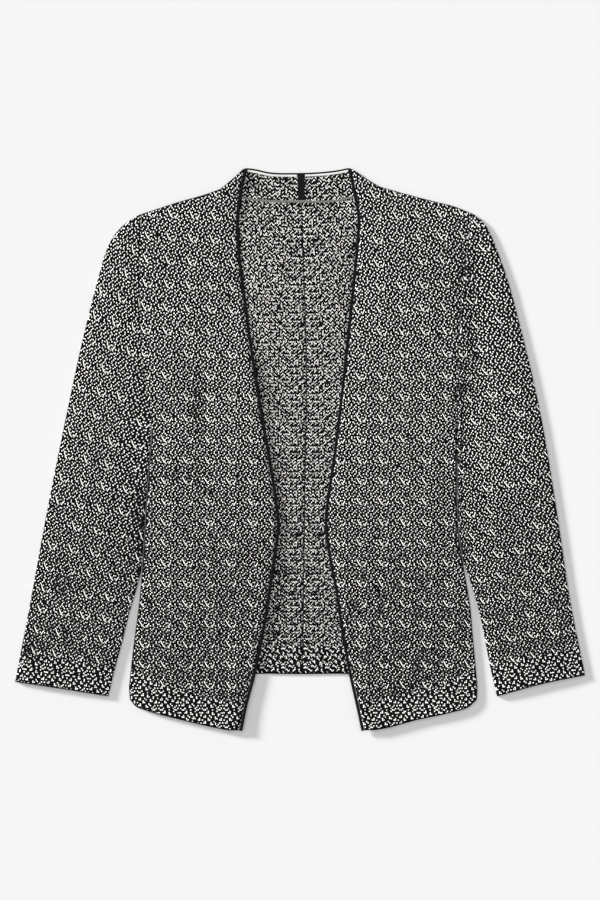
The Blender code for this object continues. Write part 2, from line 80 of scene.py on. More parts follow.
room = bpy.data.worlds.new("room")
room.use_nodes = True
room.node_tree.nodes["Background"].inputs["Color"].default_value = (1.0, 1.0, 1.0, 1.0)
room.node_tree.nodes["Background"].inputs["Strength"].default_value = ROOM_LIGHT
bpy.context.scene.world = room
bpy.context.scene.view_settings.view_transform = "Standard"


class Wire:
    """A number, vector or colour on its way between nodes, so that the maths on it reads as expressions."""

    def __init__(self, shader, socket):
        self.shader, self.socket = shader, socket

    def maths(self, operation, *others):
        values = dict(enumerate([self, *others]))
        return self.shader.node("Math", {"operation": operation}, values)

    def __add__(self, other):
        return self.maths("ADD", other)

    def __sub__(self, other):
        return self.maths("SUBTRACT", other)

    def __mul__(self, other):
        return self.maths("MULTIPLY", other)

    def __truediv__(self, other):
        return self.maths("DIVIDE", other)

    def __mod__(self, other):
        return self.maths("FLOORED_MODULO", other)

    def __rsub__(self, other):
        return self.shader.node("Math", {"operation": "SUBTRACT"}, {0: other, 1: self})

    def __rpow__(self, other):
        return self.shader.node("Math", {"operation": "POWER"}, {0: other, 1: self})

    __radd__, __rmul__ = __add__, __mul__

    def ramp(self, low, high):
        """0 at low, 1 at high and an even slope between, for low under high or over it."""
        settings = {"interpolation_type": "LINEAR", "clamp": True}
        return self.shader.node("MapRange", settings, {"Value": self, "From Min": low, "From Max": high})


class Shader:
    """A material with a Principled surface, whose other nodes all come from one method."""

    def __init__(self, name, **constant):
        self.material = bpy.data.materials.new(name)
        self.material.use_nodes = True
        self.tree = self.material.node_tree
        self.surface = self.tree.nodes["Principled BSDF"]
        for socket, value in constant.items():
            self.surface.inputs[socket.replace("_", " ").title().replace("Ior", "IOR")].default_value = value

    def node(self, kind, settings, values, output=0):
        """A node's output: its settings are set first, then its sockets get their values or links."""
        made = self.tree.nodes.new("ShaderNode" + kind)
        for setting, value in settings.items():
            setattr(made, setting, value)
        for socket, value in values.items():
            if isinstance(value, Wire):
                self.tree.links.new(value.socket, made.inputs[socket])
            else:
                made.inputs[socket].default_value = value
        return Wire(self, made.outputs[output])

    def mix(self, share, first, second):
        """The first colour where share is 0 and the second where it is 1."""
        return self.node("Mix", {"data_type": "RGBA"}, {0: share, 6: first, 7: second}, 2)

    def times(self, first, second):
        """The product of two colours."""
        settings = {"data_type": "RGBA", "blend_type": "MULTIPLY"}
        return self.node("Mix", settings, {0: 1.0, 6: first, 7: second}, 2)

    def chance(self, column, row):
        """A random number from 0 to 1 for each whole column and row."""
        both = self.node("CombineXYZ", {}, {0: column, 1: row})
        return self.node("TexWhiteNoise", {"noise_dimensions": "2D"}, {"Vector": both})

    def noise(self, vector, scale, detail=2.0):
        return self.node("TexNoise", {}, {"Vector": vector, "Scale": scale, "Detail": detail})

    def finish(self, colour, height, depth, strength):
        """Links the colour, and the height as a bump of a given depth in millimetres."""
        values = {"Height": height, "Distance": depth * MM, "Strength": strength}
        bump = self.node("Bump", {}, values)
        self.tree.links.new(colour.socket, self.surface.inputs["Base Color"])
        self.tree.links.new(bump.socket, self.surface.inputs["Normal"])
        return self.material


def table_finish():
    """Smooth matt board, with the faintest mottle."""
    shader = Shader("table_board", roughness=0.75, specular_ior_level=0.2)
    place = shader.node("TexCoord", {}, {}, "Object")
    mottle = shader.noise(place, 40.0)
    colour = shader.mix(mottle, (0.533, 0.533, 0.533, 1.0), (0.539, 0.539, 0.539, 1.0))
    return shader.finish(colour, mottle, depth=0.02, strength=0.2)


half = TABLE_SIZE / 2
corners = np.array([(-half, -half), (half, -half), (half, half), (-half, half)])
table = bpy.data.objects.new("table", bpy.data.meshes.new("table"))
table.data.from_pydata(np.column_stack([corners, np.full(4, TABLE_TOP)]) * MM, [], [(0, 1, 2, 3)])
table.data.materials.append(table_finish())
bpy.context.scene.collection.objects.link(table)


# ---- The back ---------------------------------------------
# Two halves of double-faced jacquard knit, seamed down the centre, which lie on the table. Between the fronts
# their inside shows. A half starts as its middle layer, and a Solidify modifier gives it its wall.
SIDES = {"right": -1, "left": 1}
TOP = 360.23                 # the collar's highest point, ahead of the middle of the outline
WALL = 1.8
SEAM_GAP = 0.3
CENTRE_GAP = 0.04            # between the back's halves, whose seam is drawn tight
SEAM_DARK = 0.7              # how far beside a seam only black yarn shows
OPENING_RISE = 1.9           # how much higher the back lies inside the neck opening than under the fronts
OPENING_EASE = 6.0           # how far in from the front's edge the rise is whole
# How far down the rise starts, is whole, starts to go and is gone.
OPENING_WINDOW = (50.0, 95.0, 200.0, 300.0)
SIDE_GAP = 0.8               # between the body's side and the sleeve that lies along it
FOLD_RADIUS = 1.2            # of the middle layer at a side, shoulder or sleeve fold
FOLD_STEPS = 5               # facets in a fold's quarter turn
GRID_STEP = 4.0              # size of the mesh's quads
SAME_POINT = 0.01            # how close points of two grids are when they are one point
SIDE_SHARE = 18 / 28         # share of a body panel's rows that lie along its side seam, under the armhole
CORNER_EASE = 14.0           # over which a seam bends to meet a fold at its corner
CORNER_STAND = 0.4           # how far an edge stands back further where it meets a fold
LOWER = WALL / 2             # heights of the middle layer: of the lower layer,
SEAM_HEIGHT = LOWER + FOLD_RADIUS   # of the seam or fold between the two layers,
UPPER = SEAM_HEIGHT + FOLD_RADIUS   # and of the upper layer beside a fold
FOLD_SEAM = 0.3              # how far a layer's edge stops short of the seam's height
BODY_MIDDLE = (120.0, 380.0)

# Side seam, from the hem to the underarm.   down   right   left
SIDE = [
    (681.0, 217.7, 226.2),
    (668.0, 219.3, 227.2),
    (650.0, 217.7, 225.9),
    (604.0, 212.6, 221.7),
    (562.0, 206.8, 218.0),
    (508.0, 201.8, 209.0)]
SIDE_BESIDE_SLEEVE = [
    (508.0, 201.8, 209.0),
    (470.0, 199.0, 203.2),
    (428.8, 196.6, 201.0),
    (386.6, 193.4, 200.8),
    (341.8, 189.6, 201.4)]
ARMHOLE = [
    (341.8, 189.6, 201.4),
    (320.0, 190.6, 199.4),
    (297.0, 194.6, 199.8),
    (246.0, 201.6, 202.8),
    (195.0, 204.3, 205.0),
    (143.0, 204.8, 208.6),
    (105.0, 204.6, 214.0),
    (59.2, 203.0, 221.5)]
# Shoulder, from the shoulder point to the side of the neck.   right: down, out   left: down, out
SHOULDER = [
    (59.2, 203.0, 59.2, 221.5),
    (52.0, 181.0, 49.2, 196.0),
    (43.3, 154.0, 43.0, 171.0),
    (34.6, 123.0, 33.0, 133.0),
    (27.4, 102.5, 24.3, 102.3)]
NECK_SEAM = [
    (27.4, 102.5, 24.3, 102.3),
    (38.3, 72.4, 37.0, 68.5),
    (42.0, 46.2, 42.6, 42.0),
    (43.3, -2.0, 43.3, 2.0)]
BACK_HEM = [
    (647.7, -3.0, 647.7, 3.0),
    (647.7, 62.0, 647.7, 66.0),
    (652.5, 116.0, 652.5, 122.0),
    (665.0, 172.0, 665.0, 178.0),
    (681.0, 217.7, 681.0, 226.2)]
CENTRE_BACK = [
    (647.7, -3.0, 647.7, 3.0),
    (420.0, -6.0, 420.0, 6.0),
    (250.0, -8.0, 250.0, 8.0),
    (140.0, -5.0, 140.0, 5.0),
    (43.3, -2.0, 43.3, 2.0)]
# Middle of the front band, from the hem to the collar's corner.   down   right    left
FRONT_EDGE = [
    (719.6, 75.5, 80.2),
    (696.3, 71.2, 75.3),
    (645.1, 58.0, 63.8),
    (593.9, 47.5, 54.5),
    (542.7, 39.0, 46.9),
    (489.0, 31.4, 36.9),
    (461.0, 27.8, 33.4),
    (448.0, 28.0, 33.3),
    (427.5, 30.5, 35.3),
    (376.3, 38.5, 43.0),
    (273.9, 55.8, 55.3),
    (171.5, 70.5, 66.3),
    (94.7, 79.2, 73.6),
    (69.1, 80.0, 75.3),
    (30.7, 75.6, 69.4),
    (2.4, 69.2, 63.4)]
SHOULDER_INWARD = (-0.45, 0.89)  # unit directions into the cloth where two folds meet
NECK_INWARD = (-0.4, 0.92)

# How the knitting lies.   down, lean of the stitch columns in degrees, height of a row of stitches
BODY_LIE = [
    (0.0, 3.3, 2.22),
    (110.0, 3.3, 2.19),
    (260.0, 0.6, 2.01),
    (480.0, 0.0, 1.93),
    (720.0, 0.0, 1.92)]
STITCH_WIDTH = 1.92
FACE_SCALE = (1.04, 1.04)    # stitches of the chart in one of the cloth's, across and along
INSIDE_SCALE = (1.05, 0.95)  # the inside shows its rows wider apart
EDGE_DEPTH = 1.5             # the dark edge of a hem
BORDER_DEPTH = 36.0          # the bolder rows above it

# The knitting charts, a letter for a stitch: # is off-white yarn and . is black yarn.
FACE_CHART = [
    "#..#..#.#..#...",
    "..#.#....#..#.#",
    ".#...#.#...#...",
    "#..#....#.#..#.",
    "..#..##......#.",
    "#...#...#..#..#",
    ".#.#..#..#.#...",
    ".....#.#....#.#",
    "#.#.#....#.#...",
    "...#..##..#..#.",
    ".#...#...#...#.",
    "#..#...#..#.#..",
    ".#..#.#..#....#",
    "...#....#..#.#."]
INSIDE_CHART = [
    "##.##.###.##.##.",
    "........#......#",
    "#.##.##.#.###.##",
    "....#.......#...",
    "##.##.##..##.###",
    "#........#......",
    "#.###.#.###.##.#",
    "..#....#......#.",
    "##.##.##.#.##.##",
    ".....#...#......",
    ".#.###.#.#.###.#",
    "...#.#....#.....",
    "###.##.#.##.#.##",
    "........#....#..",
    "#.##.###.#.###.#",
    ".#.#...#...#...."]
BORDER_CHART = [
    ".##....#...##..",
    "....#.....#....",
    "#..##..#.....##",
    ".......##..#...",
    "..#..#.....#..#",
    ".##...#..#.....",
    "....#....##..#.",
    "#...##......##.",
    "..#.....#......",
    ".##...#..#..#.#",
    "......##...#...",
    "#..#......#..#."]
# Slanted floats of off-white yarn on the face, in stitches of its chart: where each starts and ends, and bow.
FLOATS = [
    (2.0, 3.0, 4.9, 7.2, 0.3),
    (8.6, 4.8, 7.0, 7.4, 0.0)]
FLOAT_HALF, FLOAT_CLEAR = 0.24, 0.6    # half its width, and how far the black beside it reaches
FLOAT_EDGE = 0.08            # half the width of its soft edge
FLOAT_SHARE, FLOAT_STRAY = 0.85, 0.6   # how many repeats show one, and how far it strays from its place
NOWHERE = 9.0                # a distance at which a float has no effect
SWAPPED = 0.006              # share of the stitches where the other yarn shows
SWAY_SCALE, SWAY = 0.42, 0.5     # how often the sway turns in a stitch, and how far it moves the knit
UNEVEN, SHARPNESS = 0.25, 6.0    # how much fuller some stitches are, and how fast the off-white ends
FADE = 0.25                  # share of a patch's length, either side of its end, over which it fades

# Painted shade on the knit: patches where less of the off-white shows, so that the knit is darker where folds
# and shadow darken the cloth, and painted light where the amount is below nothing and more of it shows. Where
# each patch starts and ends as out, down, how far its middle bows out, its width and amount.
PAINTED_SHADE = {
    "right": [
        (131, 262, 131, 338, 0, 9, 0.12),
        (175, 398, 118, 398, 0, 14, 0.06),
        (200, 415, 206, 512, 0, 8, 0.15),
        (350, 600, 330, 625, 0, 14, 0.08),
        (314, 505, 300, 540, 0, 14, 0.06),
        (16, 500, 42, 655, 0, 8, 0.08)],
    "left": [
        (206, 80, 212, 300, 0, 21, 0.09),
        (211, 120, 212, 150, 0, 12, 0.05),
        (203, 290, 203, 480, 0, 6, 0.14),
        (207, 480, 207, 495, 0, 9, 0.17),
        (243, 280, 250, 430, 0, 14, -0.05),
        (130, 490, 150, 660, 0, 70, 0.02),
        (60, 668, 210, 668, 0, 8, 0.04),
        (100, 706, 200, 690, 0, 10, -0.06)]}
# Painted shade over the whole knit: it is darker towards the bottom.
PAINTED_SHADE_DOWN = (160.0, 660.0, 0.1)   # down, where painted shade over the whole starts and is full, and its amount


def smoothstep(x):
    """0 below 0, 1 above 1, and a smooth rise between."""
    x = np.clip(x, 0.0, 1.0)
    return x * x * (3 - 2 * x)


class Line:
    """A line in plan: close-set (out, down) points, and at each of them the share of the way along."""

    def __init__(self, points, share=None):
        self.points = np.asarray(points, float)
        steps = np.linalg.norm(np.diff(self.points, axis=0), axis=1)
        self.along = np.concatenate([[0.0], np.cumsum(steps)])
        self.share = self.along / self.along[-1] if share is None else share

    def at(self, share):
        """Points at the given shares of the way, in an array of any shape."""
        return np.stack([np.interp(share, self.share, self.points[:, axis]) for axis in (0, 1)], axis=-1)

    def turned(self):
        """The same line run the other way."""
        return Line(self.points[::-1], 1 - self.share[::-1])

    def moved(self, distance, towards):
        """The line moved sideways, to the side on which the given point lies."""
        direction = np.gradient(self.points, axis=0)
        direction /= np.linalg.norm(direction, axis=1, keepdims=True)
        normal = np.column_stack([-direction[:, 1], direction[:, 0]])
        middle = len(normal) // 2
        sign = np.sign(np.dot(normal[middle], np.asarray(towards) - self.points[middle]))
        return Line(self.points + sign * distance * normal, self.share)

    def pinned(self, start=None, end=None):
        """The line bent, over a short length at its ends, to start and end at given points."""
        points = self.points.copy()
        if start is not None:
            points += (1 - smoothstep(self.along / CORNER_EASE))[:, None] * (start - self.points[0])
        if end is not None:
            left = (self.along[-1] - self.along) / CORNER_EASE
            points += (1 - smoothstep(left))[:, None] * (end - self.points[-1])
        return Line(points, self.share)


def line(rows, side, samples=200):
    """The smooth line through a table's points: cubic pieces that take their slope from the neighbours."""
    rows = np.asarray(rows, float)
    if rows.shape[1] == 3:
        down, out = 0, (1 if side == "right" else 2)
    else:
        down, out = (0, 1) if side == "right" else (2, 3)
    chords = Line(rows[:, [out, down]])
    points, chord = chords.points, chords.along
    slope = np.gradient(points, chord, axis=0)
    along = np.linspace(0.0, chord[-1], samples)
    piece = np.clip(np.searchsorted(chord, along, side="right") - 1, 0, len(points) - 2)
    span = (chord[piece + 1] - chord[piece])[:, None]
    t = (along - chord[piece])[:, None] / span
    leave, arrive = slope[piece] * span, slope[piece + 1] * span
    return Line(points[piece] * (2 * t**3 - 3 * t**2 + 1) + leave * (t**3 - 2 * t**2 + t)
                + points[piece + 1] * (3 * t**2 - 2 * t**3) + arrive * (t**3 - t**2))


def join(first, second, meeting=None):
    """One line made of two that meet end to end, at a given share of the way."""
    points = np.concatenate([first.points, second.points[1:]])
    if meeting is None:
        return Line(points)
    return Line(points, np.concatenate([first.share * meeting, meeting + second.share[1:] * (1 - meeting)]))


def patch(start, end, first, last, u, v):
    """Points between four lines: the straight blends across u and along v, less that of the corners.

    start and end run along u, at v = 0 and 1; first and last run along v, at u = 0 and 1. u and v are
    grids of shares, with a row for each step along v.
    """
    across_start, across_end = start.at(u), end.at(u)
    along_first, along_last = first.at(v), last.at(v)
    u, v = u[..., None], v[..., None]
    corners = ((1 - u) * (1 - v) * start.points[0] + u * (1 - v) * start.points[-1]
               + (1 - u) * v * end.points[0] + u * v * end.points[-1])
    return (1 - v) * across_start + v * across_end + (1 - u) * along_first + u * along_last - corners


def shares(count, size, fold_at_start=False, fold_at_end=False):
    """Even shares, with the steps of a fold's quarter turn at either end: a row for each of the sizes."""
    size = np.reshape(size, (-1, 1))
    step = np.arange(FOLD_STEPS + 1) / FOLD_STEPS
    fold = FOLD_RADIUS * (1 - np.cos(math.pi / 2 * step)) / size
    even = np.arange(1, count) / count + 0 * size
    start = fold if fold_at_start else 0 * size
    end = 1 - fold[:, ::-1] if fold_at_end else 1 + 0 * size
    return np.concatenate([start, even, end], axis=1)


def grid_shares(first, last, v, count, **folds):
    """The grids of shares across and along a patch, whose rows run from one line to another."""
    size = np.linalg.norm(first.at(v) - last.at(v), axis=1)
    u = shares(count, size, **folds)
    return u, np.broadcast_to(v[:, None], u.shape)


def quads(length):
    """How many quads fit along a length."""
    return max(2, round(float(length) / GRID_STEP))


def distance_to(plan, lines):
    """Distance in plan to the nearest of some lines, chord by chord. Long lines are thinned first."""
    flat = plan.reshape(-1, 2)
    nearest = np.full(len(flat), np.inf)
    for edge in lines:
        chords = edge.points[::4] if len(edge.points) > 40 else edge.points
        chords = np.concatenate([chords, edge.points[-1:]])
        for start, end in zip(chords[:-1], chords[1:]):
            step = end - start
            t = np.clip((flat - start) @ step / max(step @ step, 1e-9), 0, 1)
            nearest = np.minimum(nearest, np.linalg.norm(flat - start - t[:, None] * step, axis=1))
    return nearest.reshape(plan.shape[:-1])


def turn(distance):
    """Height of a fold's quarter turn at a distance from its edge, as a share of its radius."""
    return np.sqrt(1 - (1 - np.clip(distance / FOLD_RADIUS, 0, 1))**2)


def lower(plan, folds, seam=0.0):
    """Height of the lower layer, which is flat. At its folds it comes up to seam short of SEAM_HEIGHT."""
    return SEAM_HEIGHT - seam - (FOLD_RADIUS - seam) * turn(distance_to(plan, folds))


def raised(plan, height):
    """Points in plan with their heights."""
    return np.concatenate([plan, np.broadcast_to(height, plan.shape[:-1])[..., None]], axis=-1)


def stitches(plan, side, lie, width):
    """Column and row of stitches at points in plan.

    The axis is a line down the piece whose slope is the lean. A point's column is its distance from the
    axis, square to it, over the stitch's width. Its row is the length of axis above it over the row height.
    """
    down, lean, row = np.array(lie).T
    fine = np.arange(down[0] - 30.0, down[-1] + 30.0)
    lean = np.radians(np.interp(fine, down, lean))
    row = np.interp(fine, down, row)
    axis = np.cumsum(np.tan(lean))
    count = np.cumsum(1 / (row * np.cos(lean)))
    off = plan[..., 0] - np.interp(plan[..., 1], fine, axis)
    lean_here = np.interp(plan[..., 1], fine, lean)
    column = SIDES[side] * off * np.cos(lean_here) / width
    rows = np.interp(plan[..., 1], fine, count) + np.sin(lean_here) * off / np.interp(plan[..., 1], fine, row)
    return np.stack([column, rows], axis=-1)


def bells(plan, rows):
    """Sum of soft patches: each a bell across its bowed centre line, faded out towards both its ends."""
    total = np.zeros(plan.shape[:-1])
    for out, down, end_out, end_down, bow, width, height in rows:
        start, step = np.array([out, down], float), np.array([end_out - out, end_down - down], float)
        length = np.linalg.norm(step)
        ahead = (plan - start) @ (step / length) / length
        aside = (plan - start) @ (np.array([step[1], -step[0]]) / length)
        aside = aside - bow * (1 - (2 * np.clip(ahead, 0, 1) - 1)**2)
        fade = smoothstep((ahead + FADE) / (2 * FADE)) * smoothstep((1 + FADE - ahead) / (2 * FADE))
        total += height * fade * np.exp(-(aside / width)**2)
    return total


def grid_quads(rows, columns, closed, turned):
    """Quads between the neighbours of a grid numbered row by row, which may close and be turned over."""
    corner = np.arange(rows * columns).reshape(rows, columns)
    if closed:
        corner = np.concatenate([corner, corner[:, :1]], axis=1)
    quad = np.stack([corner[:-1, :-1], corner[:-1, 1:], corner[1:, 1:], corner[1:, :-1]], axis=-1)
    return (quad[..., ::-1] if turned else quad).reshape(-1, 4)


def sewn_piece(name, side, points, faces, uv_name, uv, finishes):
    """A smooth piece that rides on the jacket, from its (out, down, height) points in millimetres."""
    mesh = bpy.data.meshes.new(name)
    world = np.column_stack([SIDES[side] * points[:, 0], TOP - points[:, 1], points[:, 2]]) * MM
    mesh.from_pydata(world, [], faces)
    mesh.uv_layers.new(name=uv_name).data.foreach_set("uv", uv.astype(np.float32).ravel())
    mesh.shade_smooth()
    for finish in finishes:
        mesh.materials.append(finish)
    piece = bpy.data.objects.new(name, mesh)
    bpy.context.scene.collection.objects.link(piece)
    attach(piece, "root")
    return piece


def cloth(name, side, parts, finishes, face_up, seams, closed=False):
    """A piece of cloth from grids of its middle layer, each with its stitches and its distance from the hem.

    Points that two grids share become one. The first finish is for the cloth's face and the second for its
    inside, which a Solidify modifier makes. Attributes give each point's distance from the hem and from the
    seams, and how much painted shade darkens the knit there.
    """
    points, faces, uv, hem, first = [], [], [], [], 0
    for grid, stitch, from_hem in parts:
        rows, columns = grid.shape[:2]
        quad = grid_quads(rows, columns, closed, (SIDES[side] > 0) != face_up)
        faces.append(quad + first)
        uv.append(stitch.reshape(-1, 2)[quad])
        points.append(grid.reshape(-1, 3))
        hem.append(from_hem.ravel())
        first += rows * columns
    points, faces, uv, hem = map(np.concatenate, (points, faces, uv, hem))
    key = np.round(points / SAME_POINT).astype(int)
    kept, place = np.unique(key, axis=0, return_index=True, return_inverse=True)[1:]
    points, hem, faces = points[kept], hem[kept], place.reshape(-1)[faces]
    piece = sewn_piece(name, side, points, faces.tolist(), "stitches", uv, finishes)
    plan = points[:, :2]
    # Painted shade: the patches, and a darkening towards the bottom, go into an attribute for the knit's
    # finish.
    start, whole, amount = PAINTED_SHADE_DOWN
    painted_shade = bells(plan, PAINTED_SHADE[side]) + amount * smoothstep((points[:, 1] - start) / (whole - start))
    from_seam = distance_to(plan, seams) if seams else np.full(len(points), TOP)
    for attribute, value in {"from_hem": hem, "painted_shade": painted_shade, "from_seam": from_seam}.items():
        made = piece.data.attributes.new(attribute, "FLOAT", "POINT")
        made.data.foreach_set("value", value.astype(np.float32))
    wall = piece.modifiers.new("wall", "SOLIDIFY")
    wall.thickness = WALL * MM
    wall.offset = 0.0
    wall.material_offset = len(finishes) - 1
    return piece


def charted(column, row, chart):
    """1 on a chart's off-white stitches and 0 on its black ones.

    Each row of the chart is a binary number with a bit for each stitch, and half is added so that rounding
    can't reach the next bit. The stitch is what is left of that number over two to the stitch's place.
    """
    column, row = column % len(chart[0]), row % len(chart)
    number = 0.5
    for place, letters in enumerate(chart):
        bits = sum(2**bit for bit, letter in enumerate(letters) if letter == "#")
        number = row.maths("COMPARE", float(place), 0.5).maths("MULTIPLY_ADD", float(bits), number)
    return (number / 2**column).maths("FLOOR") % 2.0


def from_float(across, along, chart, start_x, start_y, end_x, end_y, bow):
    """Distance from a float, a bowed line that repeats with the chart: the hypotenuse of its two parts.

    One part is the distance from the line, whose middle stands aside by the bow. The other is how far the
    point is past an end of it. Each repeat has its own chance, which may leave the float out. Seven times
    it, less its whole part, is another one, which moves the float.
    """
    shader = across.shader
    length = math.hypot(end_x - start_x, end_y - start_y)
    step_x, step_y = (end_x - start_x) / length, (end_y - start_y) / length
    repeat = (across / len(chart[0])).maths("FLOOR") + start_x, (along / len(chart)).maths("FLOOR")
    chance = shader.chance(*repeat)
    stray = (chance * 7.0 % 1.0 - 0.5) * FLOAT_STRAY
    x, y = across % len(chart[0]) - start_x - stray, along % len(chart) - start_y - stray
    ahead = x * step_x + y * step_y
    past = (ahead - length / 2).maths("ABSOLUTE")
    aside = x * step_y - y * step_x + bow * (1.0 - (past * (2 / length)).maths("POWER", 2.0))
    past = (past - length / 2).maths("MAXIMUM", 0.0)
    return (aside * aside + past * past).maths("SQRT") + chance.maths("GREATER_THAN", FLOAT_SHARE) * NOWHERE


def knit_finish(name, chart, floats, scale, turns, lean, flat, gap, cover, border_cover, painted_shade_strength):
    """Jacquard knit in black and off-white yarn.

    The coordinates are first swayed by a noise, as soft knit is never quite even. A row is read from a
    coordinate that rises, lean times, with the distance from the middle of a turn of the yarn, so it runs as
    a chain of Vs or, on the inside, as a wave. Each leg of a V is a rounded yarn between two grooves. Across
    a row a stitch's fullness is 1 less an even power, flat, and gap parts it from the next. Off-white shows
    where that is over cover, or border_cover beside a hem. The cloth's painted shade, times a strength, adds
    to either, unevenly, so that less off-white shows and the knit is painted darker where shade falls, and
    lighter where the painted shade is below nothing. Here and there the yarn beneath shows instead, and some
    stitches are fuller than others.
    """
    shader = Shader(name, roughness=0.9, specular_ior_level=0.04)
    place = shader.node("UVMap", {"uv_map": "stitches"}, {})
    place = shader.node("VectorMath", {"operation": "MULTIPLY"}, {0: place, 1: (*scale, 0.0)})
    sway = shader.node("TexNoise", {}, {"Vector": place, "Scale": SWAY_SCALE, "Detail": 1.0}, "Color")
    swayed = {0: sway, 1: (SWAY, SWAY, 0.0), 2: place}
    place = shader.node("VectorMath", {"operation": "MULTIPLY_ADD"}, swayed)
    across, along = (shader.node("SeparateXYZ", {}, {0: place}, axis) for axis in ("X", "Y"))
    column = across.maths("FLOOR")
    turn_across = (across / turns) % 1.0
    course = along + (turn_across - 0.5).maths("ABSOLUTE") * lean
    row = course.maths("FLOOR")
    uneven = shader.chance(column, row)
    aside = (across - column - 0.5).maths("ABSOLUTE")
    step = 1.0 - ((course - row) * 2.0 - 1.0).maths("POWER", flat)
    full = (1.0 - (aside * 2.0).maths("POWER", 3.0) * gap) * step
    yarn = (1.0 - (aside * 4.0 - 1.0).maths("POWER", 2.0)) * step
    from_hem = shader.node("Attribute", {"attribute_name": "from_hem"}, {}, "Fac")
    border = from_hem.maths("LESS_THAN", BORDER_DEPTH)
    white = charted(column, row, chart) * (1.0 - border) + charted(column, row, BORDER_CHART) * border
    white = (white - uneven.maths("LESS_THAN", SWAPPED)).maths("ABSOLUTE")
    painted_shade = shader.node("Attribute", {"attribute_name": "painted_shade"}, {}, "Fac")
    # Painted shade raises the cover, so that less off-white shows and the knit is darker. Below nothing it is
    # painted light.
    cover = cover + border * (border_cover - cover) + painted_shade * (1.5 - uneven) * painted_shade_strength
    white = white * ((full + (uneven - 0.5) * UNEVEN - cover) * SHARPNESS + 0.5).ramp(0.0, 1.0)
    for bent in floats:
        away = from_float(across, along, chart, *bent) + border * NOWHERE
        white = white * away.maths("GREATER_THAN", FLOAT_CLEAR)
        white = white.maths("MAXIMUM", away.ramp(FLOAT_HALF + FLOAT_EDGE, FLOAT_HALF - FLOAT_EDGE))
    from_seam = shader.node("Attribute", {"attribute_name": "from_seam"}, {}, "Fac")
    white = white * from_hem.maths("GREATER_THAN", EDGE_DEPTH) * from_seam.maths("GREATER_THAN", SEAM_DARK)
    fibre = shader.noise(place, 7.0)
    light = shader.mix(uneven, (0.93, 0.92, 0.89, 1.0), (0.98, 0.97, 0.94, 1.0))
    shade = shader.mix(fibre.ramp(0.2, 0.6), (0.88, 0.88, 0.88, 1.0), (1.0, 1.0, 1.0, 1.0))
    light = shader.times(light, shade)
    dark = shader.mix(fibre.ramp(0.3, 0.75), (0.001, 0.001, 0.001, 1.0), (0.006, 0.005, 0.006, 1.0))
    return shader.finish(shader.mix(white, dark, light), yarn + fibre * 0.4, depth=0.5, strength=0.35)


KNIT_FACE = knit_finish("knit_face", FACE_CHART, FLOATS, FACE_SCALE, turns=1.0, lean=0.5, flat=4.0,
                        gap=1.0, cover=0.72, border_cover=0.53, painted_shade_strength=1.0)
KNIT_INSIDE = knit_finish("knit_inside", INSIDE_CHART, [], INSIDE_SCALE, turns=3.0, lean=-3.0, flat=2.0,
                          gap=0.2, cover=0.8, border_cover=0.66, painted_shade_strength=0.4)

half_wall, half_gap = WALL / 2, SEAM_GAP / 2
armhole, beside, shoulder_line, neck_seam = ({side: line(rows, side) for side in SIDES} for rows in
                                             (ARMHOLE, SIDE_BESIDE_SLEEVE, SHOULDER, NECK_SEAM))
side_line = {side: join(line(SIDE, side), beside[side]) for side in SIDES}
band_line = {side: line(FRONT_EDGE, side) for side in SIDES}
shoulder_point, neck_point, shoulder_fold, side_fold, body_side = {}, {}, {}, {}, {}
stand = np.array([CORNER_STAND, 0.0])
for side in SIDES:
    shoulder_point[side] = shoulder_line[side].points[0] + half_wall * np.array(SHOULDER_INWARD)
    neck_point[side] = shoulder_line[side].points[-1] + half_wall * np.array(NECK_INWARD)
    shoulder_fold[side] = shoulder_line[side].moved(half_wall, BODY_MIDDLE).pinned(
        shoulder_point[side] - stand, neck_point[side])
    side_fold[side] = side_line[side].moved(half_wall + SIDE_GAP / 2, BODY_MIDDLE)
    body_side[side] = join(side_fold[side], armhole[side].moved(half_gap, BODY_MIDDLE).pinned(
        side_fold[side].points[-1], shoulder_fold[side].points[0]), SIDE_SHARE)


def risen(plan, side):
    """Height that the back gains in the opening: a smooth rise from the front's edge, within its window."""
    down, out = band_line[side].points[:, 1], band_line[side].points[:, 0]
    inside = np.interp(plan[..., 1], down[::-1], out[::-1]) - plan[..., 0]
    start, whole, going, gone = OPENING_WINDOW
    rising = smoothstep((plan[..., 1] - start) / (whole - start))
    falling = smoothstep((gone - plan[..., 1]) / (gone - going))
    return OPENING_RISE * smoothstep(inside / OPENING_EASE) * (rising * falling)


for side in SIDES:
    corner = shoulder_fold[side].points[-1] + [SEAM_GAP, 2 * SEAM_GAP]
    neck = neck_seam[side].moved(half_gap, BODY_MIDDLE)
    neck = neck.pinned(corner, neck.points[-1] + [half_gap, 0.0]).turned()
    top = join(neck, shoulder_fold[side].pinned(None, corner).turned())
    centre = line(CENTRE_BACK, side).moved(CENTRE_GAP / 2, BODY_MIDDLE).pinned(None, neck.points[0])
    hem = line(BACK_HEM, side).pinned(centre.points[0], side_fold[side].points[0])
    v = shares(quads(centre.along[-1]), centre.along[-1], fold_at_end=True)[0]
    u, v = grid_shares(centre, body_side[side], v, quads(hem.along[-1]), fold_at_end=True)
    plan = patch(hem, top, centre, body_side[side], u, v)
    height = lower(plan, [shoulder_fold[side], side_fold[side]], FOLD_SEAM) + risen(plan, side)
    stitch = stitches(plan, side, BODY_LIE, STITCH_WIDTH)
    back = cloth("knit_back_" + side, side, [(raised(plan, height), stitch, distance_to(plan, [hem]))],
                 [KNIT_FACE, KNIT_INSIDE], False, [centre, side_fold[side], shoulder_fold[side]])
    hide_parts("back_" + side)


